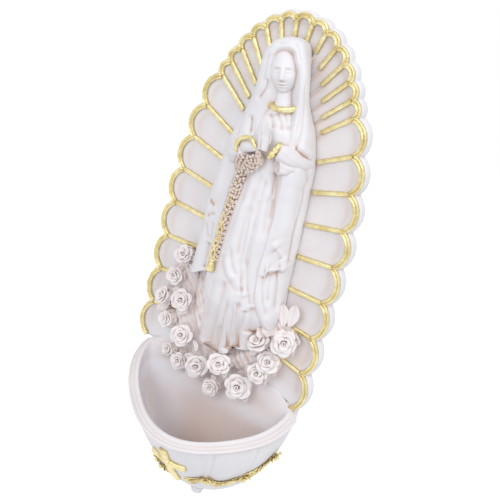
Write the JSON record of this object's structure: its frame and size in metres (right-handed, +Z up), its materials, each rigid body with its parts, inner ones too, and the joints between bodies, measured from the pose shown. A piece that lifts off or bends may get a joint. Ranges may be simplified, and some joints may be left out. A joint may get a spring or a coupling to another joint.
{
  "type": "holy water stoup",
  "caption": "Wall-hung holy water stoup: scalloped oval plate with gilt rays, a veiled figure in relief, roses and a half bowl with a moulded rim.",
  "frame": {"origin": "on the wall face of the back plate, on the plate's centre line, 86 mm below the top of the cusps' oval", "axes": "+Z up the plate, +Y into the wall, +X to the right as seen from the front"},
  "size_m": [0.094, 0.0485, 0.2307],
  "materials": {
    "white_resin": "satin white cast resin with a pinkish wash in its recesses",
    "gold_paint": "metallic gold paint",
    "washed_resin": "cast resin with a pinkish-brown wash"
  },
  "bodies": {
    "root": {"back_plate": "white_resin", "bowl": "white_resin", "head": "white_resin", "mantle": "white_resin", "hands": "white_resin", "sleeve_left": "white_resin", "sleeve_right": "white_resin", "robe": "white_resin", "rose_left_1": "white_resin", "rose_left_2": "white_resin", "rose_left_3": "white_resin", "rose_left_4": "white_resin", "rose_left_5": "white_resin", "rose_left_6": "white_resin", "rose_left_7": "white_resin", "rose_left_8": "white_resin", "rose_centre_1": "white_resin", "rose_centre_2": "white_resin", "rose_centre_3": "white_resin", "rose_centre_4": "white_resin", "rose_right_1": "white_resin", "rose_right_2": "white_resin", "rose_right_3": "white_resin", "rose_right_4": "white_resin", "border_moulding": "gold_paint", "cross": "gold_paint", "swag_left": "gold_paint", "swag_right": "gold_paint", "cuff_left": "gold_paint", "cuff_right": "gold_paint", "collar": "gold_paint", "ray_right_01": "gold_paint", "ray_left_01": "gold_paint", "ray_right_02": "gold_paint", "ray_left_02": "gold_paint", "ray_right_03": "gold_paint", "ray_left_03": "gold_paint", "ray_right_04": "gold_paint", "ray_left_04": "gold_paint", "ray_right_05": "gold_paint", "ray_left_05": "gold_paint", "ray_right_06": "gold_paint", "ray_left_06": "gold_paint", "ray_right_07": "gold_paint", "ray_left_07": "gold_paint", "ray_right_08": "gold_paint", "ray_left_08": "gold_paint", "ray_right_09": "gold_paint", "ray_left_09": "gold_paint", "ray_right_10": "gold_paint", "ray_left_10": "gold_paint", "ray_right_11": "gold_paint", "ray_left_11": "gold_paint", "ray_right_12": "gold_paint", "ray_left_12": "gold_paint", "ray_right_13": "gold_paint", "ray_left_13": "gold_paint", "ray_right_14": "gold_paint", "ray_left_14": "gold_paint", "rosary": "washed_resin"}
  },
  "joints": []
}
